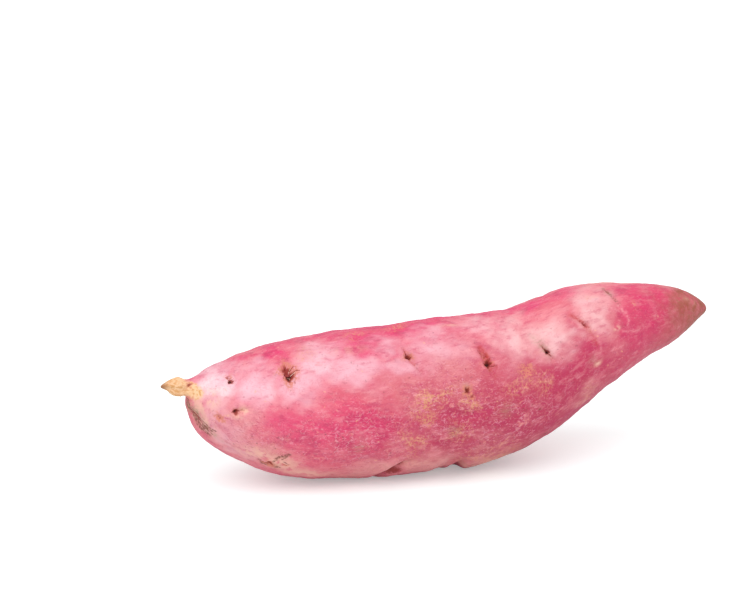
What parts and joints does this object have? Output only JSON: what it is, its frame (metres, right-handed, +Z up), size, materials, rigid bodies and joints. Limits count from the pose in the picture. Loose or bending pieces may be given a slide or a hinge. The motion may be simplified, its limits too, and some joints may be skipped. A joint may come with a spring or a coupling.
{
  "type": "sweet potato",
  "caption": "Sweet potato root with a red skin: a swollen body with eyes and shallow furrows, tapering from a short woody stub to a long raised tail, on a small flat spot.",
  "frame": {"origin": "on the table, under the middle of the bounding box", "axes": "+X along the root from the woody stub to the raised tail, +Z up, -Y towards the side seen in the picture"},
  "size_m": [0.1912, 0.049, 0.0576],
  "materials": {
    "skin": "satin"
  },
  "bodies": {
    "root": {"sweet_potato": "skin"}
  },
  "joints": []
}
